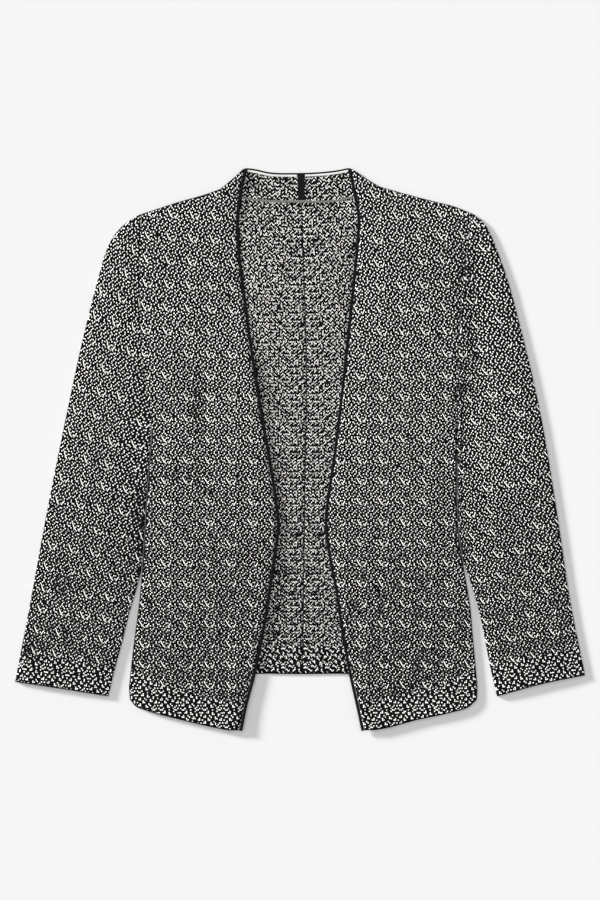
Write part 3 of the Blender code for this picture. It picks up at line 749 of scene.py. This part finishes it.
# ---- The sleeves ------------------------------------------
# Long set-in sleeves of the same knit. Each is a tube pressed flat, whose rings run across its upper layer
# and back across the lower one. The stitch columns run along the sleeve. Creases are soft and uneven.
SLEEVE_MIDDLE = (270.0, 400.0)
LOFT = 1.5                   # how much higher the upper layer lies in the middle of a piece than at a fold
LOFT_REACH = 45.0            # distance from a fold or an edge at which the full loft is reached
SEAM_DIP, SEAM_DIP_REACH = 0.7, 2.5    # how deep the armhole seam lies, and how far beside it
CREASE_SLOPE, DIP_SLOPE = 1.6, 3.0     # how fast creases and that dip come in over the loft's reach
SLEEVE_WIDTH = 150.0         # about, to tell how many quads go across a layer

# Under fold, from where it leaves the side to the cuff.   down   right   left
SLEEVE_INNER_FREE = [
    (508.0, 201.8, 209.0),
    (516.0, 203.0, 212.6),
    (540.0, 209.0, 220.6),
    (566.0, 217.0, 228.0),
    (596.5, 224.4, 234.6),
    (640.0, 236.2, 243.0),
    (676.0, 245.0, 251.5)]
# Upper fold, from the shoulder to the cuff.   right: down, out   left: down, out
SLEEVE_OUTER = [
    (59.2, 203.0, 59.2, 221.5),
    (65.0, 215.0, 65.0, 229.8),
    (75.0, 228.2, 75.0, 238.6),
    (89.0, 239.8, 89.0, 245.6),
    (108.0, 248.8, 108.0, 253.0),
    (136.0, 256.8, 136.0, 263.2),
    (197.1, 272.8, 197.1, 280.2),
    (320.0, 299.8, 320.0, 308.6),
    (442.9, 324.4, 442.9, 329.0),
    (565.8, 347.0, 565.8, 347.8),
    (657.4, 364.5, 648.8, 364.5)]
CUFF = [
    (657.4, 364.5, 648.8, 364.5),
    (666.2, 304.8, 660.6, 307.1),
    (676.0, 245.0, 676.0, 251.5)]
SLEEVE_LIE = [
    (59.0, 16.0, 2.27),
    (150.0, 15.0, 2.25),
    (250.0, 12.3, 2.13),
    (500.0, 8.8, 2.03),
    (690.0, 8.6, 1.95)]

# Creases of the upper layer on both sleeves and fronts: where each starts and ends as out, down, how far
# its middle bows outwards, its width, and its height, which is below nothing for a trough.
CREASES = {
    "right": [
        (204, 80, 206, 190, 2, 13, -0.7),
        (200, 190, 192, 330, -3, 14, -0.8),
        (134, 250, 126, 345, -4, 12, -1.7),
        (112, 392, 176, 405, 3, 12, -0.8),
        (186, 350, 150, 290, 5, 9, -0.7),
        (205, 360, 262, 300, -5, 12, -0.5),
        (215, 420, 280, 400, 4, 13, 0.5),
        (204, 410, 210, 500, 3, 10, -0.9),
        (318, 495, 296, 550, 3, 13, -0.8),
        (352, 600, 318, 640, 4, 14, -0.9),
        (250, 480, 300, 520, -3, 13, -0.8),
        (150, 480, 165, 640, 8, 26, 1.1),
        (100, 520, 92, 690, -4, 20, -0.9),
        (60, 430, 150, 452, 4, 16, -0.6),
        (120, 110, 160, 210, 6, 22, 0.9),
        (95, 200, 70, 330, -4, 16, -0.7)],
    "left": [
        (224, 70, 224, 180, 2, 14, -1.9),
        (224, 175, 222, 300, 3, 15, -1.9),
        (214, 300, 210, 345, 0, 10, -1.3),
        (62, 240, 182, 250, 6, 13, -1.0),
        (192, 352, 148, 300, 5, 10, -0.4),
        (208, 372, 268, 320, -5, 12, -0.5),
        (225, 430, 300, 408, 4, 14, 0.5),
        (262, 540, 318, 566, -3, 14, -0.5),
        (268, 250, 290, 350, 5, 15, 1.0),
        (165, 470, 178, 640, 8, 28, -0.5),
        (112, 540, 104, 700, -4, 20, -0.7),
        (70, 415, 160, 438, 4, 16, -0.8),
        (115, 95, 160, 190, 6, 22, 0.9),
        (60, 330, 90, 420, 5, 15, -0.8)]}


def upper(plan, side, folds, rests, seam=0.0, edge=0.0):
    """Height of the upper layer over points in plan.

    It comes down round the given folds to the seam's height, or to a given distance above it. From there it
    rises in a sine to its loft, with its creases on it, and by edge. It dips beside the armhole seam.
    """
    reach = np.clip(distance_to(plan, rests) / LOFT_REACH, 0, 1)
    loft = LOFT * np.sin(math.pi / 2 * reach) + bells(plan, CREASES[side]) * smoothstep(CREASE_SLOPE * reach)
    dip = SEAM_DIP * np.exp(-(distance_to(plan, [armhole[side]]) / SEAM_DIP_REACH)**2)
    rise = FOLD_RADIUS - seam + loft + edge - dip * smoothstep(reach * DIP_SLOPE)
    return SEAM_HEIGHT + seam + rise * turn(distance_to(plan, folds))


def unrolled(ring, count):
    """Where the points of a tube's rings come in plan if it is opened along the middle of its lower layer.

    Each ring is laid straight, from the middle of its upper layer, whose points number count, and in the
    direction from its inner fold to its outer one.
    """
    opening = (count + ring.shape[1]) // 2
    row = np.roll(ring, -opening, axis=1)
    step = np.linalg.norm(np.diff(row, axis=1), axis=2)
    along = np.concatenate([np.zeros((len(row), 1)), np.cumsum(step, axis=1)], axis=1)
    along = np.roll(along, opening, axis=1)
    outward = ring[:, 0, :2] - ring[:, count - 1, :2]
    outward /= np.linalg.norm(outward, axis=1, keepdims=True)
    middle = count // 2
    away = along[:, middle:middle + 1] - along
    return ring[:, middle:middle + 1, :2] + outward[:, None] * away[..., None]


outer_line = {side: line(SLEEVE_OUTER, side) for side in SIDES}
inner_line = {side: join(beside[side].turned(), line(SLEEVE_INNER_FREE, side)) for side in SIDES}
for side in SIDES:
    inner = inner_line[side].moved(half_wall + SIDE_GAP / 2, SLEEVE_MIDDLE)
    outer = outer_line[side].moved(half_wall, SLEEVE_MIDDLE).pinned(shoulder_point[side] + stand)
    top = armhole[side].moved(half_gap, SLEEVE_MIDDLE).pinned(inner.points[0], outer.points[0]).turned()
    cuff = line(CUFF, side).pinned(outer.points[-1], inner.points[-1])
    v = np.linspace(0, 1, quads(outer.along[-1]) + 1)
    u, v = grid_shares(outer, inner, v, quads(SLEEVE_WIDTH), fold_at_start=True, fold_at_end=True)
    plan = patch(top, cuff, outer, inner, u, v)
    rests = [outer_line[side], inner_line[side], side_line[side], shoulder_line[side]]
    upper_layer = raised(plan, upper(plan, side, [outer, inner], rests))
    lower_layer = raised(plan, lower(plan, [outer, inner]))
    ring = np.concatenate([upper_layer, lower_layer[:, -2:0:-1]], axis=1)
    stitch = stitches(unrolled(ring, upper_layer.shape[1]), side, SLEEVE_LIE, STITCH_WIDTH)
    sleeve = cloth("knit_sleeve_" + side, side, [(ring, stitch, distance_to(ring[..., :2], [cuff]))],
                   [KNIT_FACE, KNIT_INSIDE], True, [], closed=True)
    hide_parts("sleeve_" + side)


# ---- The fronts and the collar ----------------------------
# Each front is cut in one with its half of the standing collar, which folds over at the side of the neck and
# lies, inside up, across to the centre back. The fronts lie on the back, their hem points beyond its hem.
BAND_WIDTH = 3.8             # of the knitted band, whose middle is FRONT_EDGE
COLLAR_BAND_WIDTH = 2.4      # of the band along the top of the collar
COLLAR_MIDDLE = (40.0, 22.0)
COLLAR_STITCH_WIDTH = 2.2    # the collar is stretched round the neck
# How much more the front edge is lifted beside the neck, and how far down that is whole and is gone.
COLLAR_LIFT, COLLAR_LIFT_FULL, COLLAR_LIFT_NONE = 0.7, 60.0, 150.0

# How far the front edge is lifted off the back.   down   right   left
EDGE_LIFT = [
    (730.0, 2.4, 2.0),
    (680.0, 1.5, 1.0),
    (600.0, 0.7, 0.3),
    (540.0, 0.5, 0.3),
    (470.0, 0.5, 0.3),
    (400.0, 0.6, 0.3),
    (330.0, 1.0, 0.4),
    (262.0, 2.4, 0.5),
    (200.0, 0.4, 0.3),
    (150.0, 0.1, 0.2),
    (0.0, 0.0, 0.0)]
COLLAR_FOLD = [
    (27.4, 102.5, 24.3, 102.3),
    (19.2, 92.3, 15.5, 86.8),
    (10.2, 82.0, 7.0, 74.5),
    (1.0, 72.4, 0.5, 65.9)]
FRONT_HEM = [
    (721.7, 78.6, 720.9, 82.9),
    (713.4, 120.4, 716.2, 111.0),
    (704.6, 157.1, 706.2, 148.2),
    (694.8, 193.8, 697.2, 190.0),
    (688.0, 211.4, 688.6, 217.0),
    (681.0, 217.7, 681.0, 226.2)]
COLLAR_TOP = [
    (0.3, 66.6, 0.3, 60.4),
    (1.9, 55.8, 2.2, 52.0),
    (4.9, 43.0, 4.6, 35.0),
    (6.7, -1.0, 6.7, 1.0)]


def edge_lift(down, side):
    """How much higher the front edge lies at a distance down: the table's lift and that beside the collar."""
    table_down, right, left = np.array(EDGE_LIFT[::-1]).T
    lift = np.interp(down, table_down, right if side == "right" else left)
    return lift + COLLAR_LIFT * smoothstep((COLLAR_LIFT_NONE - down) / (COLLAR_LIFT_NONE - COLLAR_LIFT_FULL))


collar_top = {side: line(COLLAR_TOP, side) for side in SIDES}
for side in SIDES:
    panel_edge = band_line[side].moved(BAND_WIDTH / 2 + SEAM_GAP, BODY_MIDDLE)
    panel_edge = panel_edge.pinned(None, panel_edge.points[-1] + stand)
    collar_line = line(COLLAR_FOLD, side)
    collar_fold = collar_line.moved(half_wall, BODY_MIDDLE).pinned(neck_point[side], panel_edge.points[-1])
    hem = line(FRONT_HEM, side).pinned(panel_edge.points[0], side_fold[side].points[0])
    top = join(collar_fold.turned(), shoulder_fold[side].turned())
    meeting = top.share[len(collar_fold.points) - 1]

    v = shares(quads(panel_edge.along[-1]), panel_edge.along[-1], fold_at_end=True)[0]
    u, v = grid_shares(panel_edge, body_side[side], v, quads(hem.along[-1]), fold_at_end=True)
    corner = np.abs(u[-1] - meeting).argmin()
    plan = patch(hem, top, panel_edge, body_side[side], u, v)
    plan[-FOLD_STEPS - 1:, corner] += collar_fold.points[0] - plan[-1, corner]
    seam = np.full(plan.shape[:-1], FOLD_SEAM)
    seam[:, :corner] = 0.0
    folds = [collar_fold, shoulder_fold[side], side_fold[side]]
    rests = [collar_line, shoulder_line[side], outer_line[side], side_line[side], inner_line[side],
             panel_edge]
    from_edge = distance_to(plan, [panel_edge]) / LOFT_REACH
    edge = edge_lift(plan[..., 1], side) * (1 - smoothstep(from_edge))
    panel = raised(plan, upper(plan, side, folds, rests, seam, edge))
    stitch = stitches(plan, side, BODY_LIE, STITCH_WIDTH)
    parts = [(panel, stitch, distance_to(plan, [hem]))]

    # The collar's half starts from the front's own points along the fold.
    fold = Line(plan[-1, :corner + 1])
    top = collar_top[side].moved(COLLAR_BAND_WIDTH + SEAM_GAP, COLLAR_MIDDLE)
    top = Line(np.concatenate([fold.points[:1], top.points])).pinned(None, top.points[-1] + [half_gap, 0.0])
    neck = neck_seam[side].moved(half_gap, COLLAR_MIDDLE)
    neck = neck.pinned(fold.points[-1], neck.points[-1] + [half_gap, 0.0])
    centre = Line([top.points[-1], neck.points[-1]])
    v = shares(quads(neck.along[-1]), neck.along[-1], fold_at_start=True)[0]
    u, v = np.meshgrid(fold.share, v)
    plan = patch(fold, centre, top, neck, u, v)
    height = lower(plan, [collar_fold])
    height[0] = panel[-1, :corner + 1, 2]
    stitch = stitches(plan, side, BODY_LIE, COLLAR_STITCH_WIDTH)
    parts.append((raised(plan, height), stitch, np.full(plan.shape[:-1], TOP)))

    front = cloth("knit_front_" + side, side, parts, [KNIT_FACE, KNIT_INSIDE], True,
                  [side_fold[side], shoulder_fold[side], collar_fold])
    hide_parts("front_" + side)
    "knit_back_" + side


# ---- The front bands --------------------------------------
# A narrow black band, knitted in rib, is linked to each front edge from the hem point to the collar's corner.
# Its ribs run across it, and a shallow groove down its middle shows where it is turned over the edge.
BAND_THICKNESS = 2.4
BAND_SHORT = 0.2             # distance from the collar's corner at which it ends
BAND_END_DROP = 0.7          # how much the band sinks where it ends at the collar's fold
RIB_STEP, RIB_DEPTH = 2.6, 0.22
RIB_SPREAD = 0.6             # how far a rib swells the band across, as a share of how far up
GROOVE_DEPTH, GROOVE_WIDTH = 0.3, 0.16    # the width as a share of the band's half
SHARP_ANGLE = math.radians(60)            # an edge that turns by more shows as an edge


def strip(name, node, side, centre, width, thickness, finish, rib_step, rib, groove=0.0, square=3.0):
    """A band or tape, which stands for a node: a rounded section carried along a line, with both ends closed.

    The section is a superellipse, whose power makes it squarer. Along the line, ribs swell it in a sine, and
    a bell cuts the groove along its top. The UV map holds millimetres along and across it.
    """
    section = 20
    angle = 2 * math.pi * np.arange(section) / section
    power = 2 / square
    across = np.sign(np.cos(angle)) * np.abs(np.cos(angle))**power
    up = np.sign(np.sin(angle)) * np.abs(np.sin(angle))**power
    flat = Line(centre[:, :2])
    direction = np.gradient(centre[:, :2], axis=0)
    direction /= np.linalg.norm(direction, axis=1, keepdims=True)
    normal = np.column_stack([-direction[:, 1], direction[:, 0]])
    swell = rib * np.sin(2 * math.pi * flat.along / rib_step)[:, None]
    wide = across * (width / 2 + swell * RIB_SPREAD)
    high = up * (thickness / 2 + swell) - groove * np.exp(-(across / GROOVE_WIDTH)**2) * (up > 0)
    points = np.concatenate([centre[:, None, :2] + normal[:, None] * wide[..., None],
                             (centre[:, None, 2] + high)[..., None]], axis=-1)
    rows = len(centre)
    sides = grid_quads(rows, section, True, SIDES[side] > 0)
    start, end = np.arange(section), np.arange((rows - 1) * section, rows * section)
    caps = [start, end[::-1]] if SIDES[side] < 0 else [start[::-1], end]
    place = np.column_stack([np.repeat(flat.along, section), np.tile(across * width / 2, rows)])
    loops = np.concatenate([sides.ravel(), *caps])
    faces = sides.tolist() + [cap.tolist() for cap in caps]
    piece = sewn_piece(name, side, points.reshape(-1, 3), faces, "strip", place[loops], [finish])
    piece.data.set_sharp_from_angle(angle=SHARP_ANGLE)
    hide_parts(node)


def band_finish(name, dark, light, stitch, slant):
    """Fine knit of one yarn: rows of small slanted stitches along the strip, with a little fibre."""
    shader = Shader(name, roughness=0.85, specular_ior_level=0.08)
    place = shader.node("UVMap", {"uv_map": "strip"}, {})
    along, over = (shader.node("SeparateXYZ", {}, {0: place}, axis) for axis in ("X", "Y"))
    lean = (along + over.maths("ABSOLUTE") * slant) * (2 * math.pi / stitch)
    knit = lean.maths("SINE") * 0.5 + 0.5
    fibre = shader.noise(place, 4.0, 4.0)
    colour = shader.mix(knit * 0.5 + fibre * 0.5, dark, light)
    return shader.finish(colour, knit + fibre * 0.5, depth=0.35, strength=0.7)


BLACK_BAND = band_finish("black_band", (0.001, 0.001, 0.001, 1.0), (0.009, 0.008, 0.009, 1.0),
                         stitch=1.3, slant=0.8)
for side in SIDES:
    end = 1 - BAND_SHORT / band_line[side].along[-1]
    route = band_line[side].at(np.linspace(0, end, round(band_line[side].along[-1] / (RIB_STEP / 4))))
    down = route[:, 1]
    height = UPPER + edge_lift(down, side) - BAND_END_DROP * (1 - smoothstep(down / CORNER_EASE))
    strip("band_" + side, "binding_" + side, side, raised(route, height), BAND_WIDTH,
          BAND_THICKNESS, BLACK_BAND, RIB_STEP, RIB_DEPTH, GROOVE_DEPTH)


# ---- The collar's edge ------------------------------------
# Along the top of the collar at the back the black band narrows to a cord-like edge, and under it shows a
# narrow off-white edge, the bare first rows of the collar's inside.
COLLAR_BAND_THICKNESS = 1.6
EDGE_REACH = (4.4, 0.4)      # how far out and down it runs on beneath the band's end
STRIPE_WIDTH = 2.6
TAPE_THICKNESS = 0.6
CENTRE_TAPE_WIDTH = 9.0
TAPE_HEIGHT = WALL + SEAM_GAP + TAPE_THICKNESS / 2
STRIP_STEP = 1.0             # length of a quad along a narrow strip


def both_sides(right, left):
    """One line from the right side to the left, in the left side's terms, halfway at the centre back."""
    return join(Line(right.points * [-1, 1], right.share), left.turned(), 0.5)


def along_strip(route, start=0.0, end=1.0):
    """Points close together along a part of a line."""
    return route.at(np.linspace(start, end, quads(route.along[-1] * (end - start) * GRID_STEP / STRIP_STEP)))


edges = [collar_top[side].moved(COLLAR_BAND_WIDTH / 2, COLLAR_MIDDLE).points for side in SIDES]
edges = [Line(np.concatenate([points[:1] + EDGE_REACH, points])) for points in edges]
route = along_strip(both_sides(*edges))
strip("collar_edge", "collar_binding", "left", raised(route, COLLAR_BAND_THICKNESS / 2),
      COLLAR_BAND_WIDTH, COLLAR_BAND_THICKNESS, BLACK_BAND, rib_step=1.7, rib=0.08, square=2.2)

WHITE_EDGE = band_finish("white_edge", (0.40, 0.39, 0.37, 1.0), (0.72, 0.71, 0.69, 1.0),
                         stitch=1.5, slant=0.6)
for side in SIDES:
    top = collar_top[side].moved(COLLAR_BAND_WIDTH + STRIPE_WIDTH / 2, COLLAR_MIDDLE)
    end = 1 - (CENTRE_TAPE_WIDTH / 2 + 2 * SEAM_GAP) / top.along[-1]
    route = raised(along_strip(top, 0.0, end), TAPE_HEIGHT)
    strip("white_edge_" + side, "collar_stripe_" + side, side, route, STRIPE_WIDTH,
          TAPE_THICKNESS, WHITE_EDGE, rib_step=1.5, rib=0.05, square=2.6)


# ---- The tapes --------------------------------------------
# A pale grey tape covers the seam between the collar and the back, and a black one the collar's centre seam.
# Both are woven, lie on the knit's inside and are sewn down flat.
NECK_TAPE_WIDTH = 2.7
NECK_TAPE_START = 0.16       # share of the neck seam, from the side of the neck, that it leaves free
CENTRE_BACK_COLLAR = [
    (6.7, -1.0, 6.7, 1.0),
    (43.3, -2.0, 43.3, 2.0)]

GREY_TAPE = band_finish("grey_tape", (0.01, 0.01, 0.01, 1.0), (0.26, 0.26, 0.25, 1.0), stitch=2.3, slant=0.9)
start = NECK_TAPE_START / 2
route = along_strip(both_sides(neck_seam["right"], neck_seam["left"]), start, 1 - start)
strip("neck_tape_woven", "neck_tape", "left", raised(route, TAPE_HEIGHT), NECK_TAPE_WIDTH,
      TAPE_THICKNESS, GREY_TAPE, rib_step=2.3, rib=0.06, square=2.6)

centre = line(CENTRE_BACK_COLLAR, "left")
end = 1 - (NECK_TAPE_WIDTH / 2 + 2 * SEAM_GAP) / centre.along[-1]
route = raised(along_strip(centre, 0.0, end), TAPE_HEIGHT)
strip("centre_tape", "collar_tape", "left", route, CENTRE_TAPE_WIDTH, TAPE_THICKNESS,
      BLACK_BAND, rib_step=2.0, rib=0.05, square=5.0)
